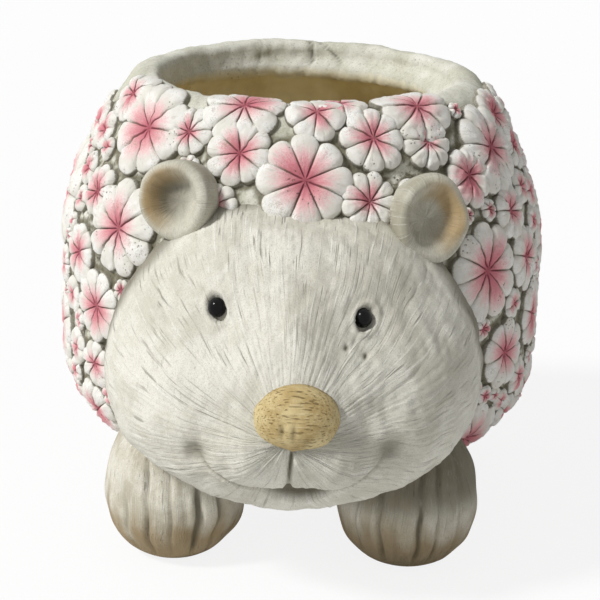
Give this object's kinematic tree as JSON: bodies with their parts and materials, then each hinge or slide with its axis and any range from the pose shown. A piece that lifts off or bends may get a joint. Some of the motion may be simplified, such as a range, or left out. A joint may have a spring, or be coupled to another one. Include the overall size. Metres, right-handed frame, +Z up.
{
  "type": "animal shaped planter",
  "caption": "Cast cement planter shaped as a standing hedgehog, with flowers in relief for spines, a round mouth and a drain hole.",
  "frame": {"origin": "on the ground, under the middle of the object's length and width", "axes": "+Z up, the face looks along -Y, +X is the right-hand side as the face is seen from the front"},
  "size_m": [0.2001, 0.2518, 0.1815],
  "materials": {
    "cement_ground": "matte",
    "cement_face": "matte",
    "cement_paw": "matte",
    "nose_ochre": "matte",
    "black_bead": "gloss",
    "painted_petals": "matte"
  },
  "bodies": {
    "root": {"pot_shell": "cement_ground", "head": "cement_face", "nose": "nose_ochre", "left_ear": "cement_face", "right_ear": "cement_face", "left_eye": "black_bead", "right_eye": "black_bead", "front_left_paw": "cement_paw", "front_right_paw": "cement_paw", "rear_left_paw": "cement_paw", "rear_right_paw": "cement_paw", "brow_flowers": "painted_petals", "left_flank_flowers": "painted_petals", "right_flank_flowers": "painted_petals", "left_rear_flowers": "painted_petals", "right_rear_flowers": "painted_petals", "rump_flowers": "painted_petals"}
  },
  "joints": []
}
